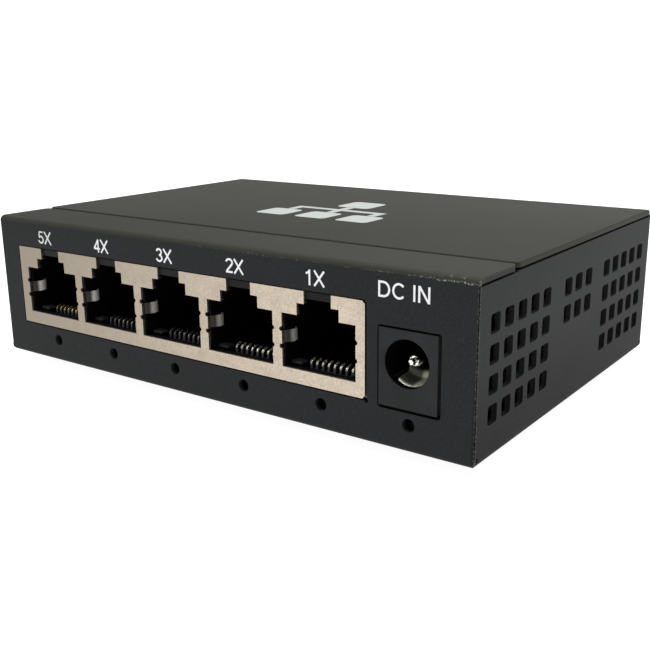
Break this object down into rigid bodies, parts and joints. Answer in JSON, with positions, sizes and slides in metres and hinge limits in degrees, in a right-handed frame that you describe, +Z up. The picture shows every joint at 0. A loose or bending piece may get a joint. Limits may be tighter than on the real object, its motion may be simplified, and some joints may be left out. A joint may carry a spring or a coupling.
{
  "type": "desktop network switch",
  "caption": "Small desktop network switch: folded black steel case with vented sides, a row of shielded network sockets, a round power socket, indicator holes and rubber feet.",
  "frame": {"origin": "centre of the footprint, on the surface that the feet stand on", "axes": "+X along the case towards the power socket as seen from the front, +Y from the front panel to the rear, +Z up"},
  "size_m": [0.0926, 0.0654, 0.0259],
  "materials": {
    "coated_steel": "fine-grained black powder coat",
    "coated_cover": "fine-grained black powder coat",
    "nickel_plate": "satin warm nickel plate",
    "black_plastic": "moulded black",
    "gold_plate": "gold flash over spring bronze",
    "leaf_brass": "bright brass",
    "pin_metal": "bright nickel plate",
    "board_green": "green solder mask",
    "black_rubber": "matt",
    "zinc_steel": "bright zinc plate",
    "standoff_brass": "turned",
    "lamp_lens": "unlit clear lens",
    "chip_plastic": "moulded epoxy",
    "capacitor_can": "bare can"
  },
  "bodies": {
    "case": {"chassis": "coated_steel", "top_cover": "coated_cover", "jack_shield": "nickel_plate", "dc_jack_body": "black_plastic", "dc_center_pin": "pin_metal", "dc_pin_terminal": "pin_metal", "circuit_board": "board_green", "magnetics_1": "chip_plastic", "magnetics_2": "chip_plastic", "magnetics_3": "chip_plastic", "switch_chip": "chip_plastic", "memory_chip": "chip_plastic", "regulator_chip": "chip_plastic", "power_inductor": "chip_plastic", "crystal": "capacitor_can", "capacitor_1": "capacitor_can", "capacitor_2": "capacitor_can", "power_lamp": "lamp_lens", "cover_screw_left": "zinc_steel", "cover_screw_right": "zinc_steel", "port_housing_1": "black_plastic", "port_lamp_1": "lamp_lens", "port_housing_2": "black_plastic", "port_lamp_2": "lamp_lens", "port_housing_3": "black_plastic", "port_lamp_3": "lamp_lens", "port_housing_4": "black_plastic", "port_lamp_4": "lamp_lens", "port_housing_5": "black_plastic", "port_lamp_5": "lamp_lens", "board_standoff_1": "standoff_brass", "board_screw_1": "zinc_steel", "board_standoff_2": "standoff_brass", "board_screw_2": "zinc_steel", "board_standoff_3": "standoff_brass", "board_screw_3": "zinc_steel", "board_standoff_4": "standoff_brass", "board_screw_4": "zinc_steel", "foot_front_left": "black_rubber", "foot_front_right": "black_rubber", "foot_rear_left": "black_rubber", "foot_rear_right": "black_rubber"},
    "contacts_1": {"port_contacts_1": "gold_plate"},
    "contacts_2": {"port_contacts_2": "gold_plate"},
    "contacts_3": {"port_contacts_3": "gold_plate"},
    "contacts_4": {"port_contacts_4": "gold_plate"},
    "contacts_5": {"port_contacts_5": "gold_plate"},
    "dc_leaf": {"dc_leaf_spring": "leaf_brass"}
  },
  "joints": [
    {"name": "contacts_1_flex", "type": "hinge", "parent": "case", "child": "contacts_1", "pos_m": [-0.03345, -0.02895, 0.00965], "axis": [-1, 0, 0], "range_deg": [0, 8], "stiffness_Nm_per_rad": 0.004, "springref_deg": -2.86},
    {"name": "contacts_2_flex", "type": "hinge", "parent": "case", "child": "contacts_2", "pos_m": [-0.01948, -0.02895, 0.00965], "axis": [-1, 0, 0], "range_deg": [0, 8], "stiffness_Nm_per_rad": 0.004, "springref_deg": -2.86},
    {"name": "contacts_3_flex", "type": "hinge", "parent": "case", "child": "contacts_3", "pos_m": [-0.00551, -0.02895, 0.00965], "axis": [-1, 0, 0], "range_deg": [0, 8], "stiffness_Nm_per_rad": 0.004, "springref_deg": -2.86},
    {"name": "contacts_4_flex", "type": "hinge", "parent": "case", "child": "contacts_4", "pos_m": [0.00846, -0.02895, 0.00965], "axis": [-1, 0, 0], "range_deg": [0, 8], "stiffness_Nm_per_rad": 0.004, "springref_deg": -2.86},
    {"name": "contacts_5_flex", "type": "hinge", "parent": "case", "child": "contacts_5", "pos_m": [0.02243, -0.02895, 0.00965], "axis": [-1, 0, 0], "range_deg": [0, 8], "stiffness_Nm_per_rad": 0.004, "springref_deg": -2.86},
    {"name": "dc_leaf_flex", "type": "hinge", "parent": "case", "child": "dc_leaf", "pos_m": [0.03655, -0.02205, 0.01], "axis": [1, 0, 0], "range_deg": [0, 5], "stiffness_Nm_per_rad": 0.002, "springref_deg": -2.86}
  ]
}
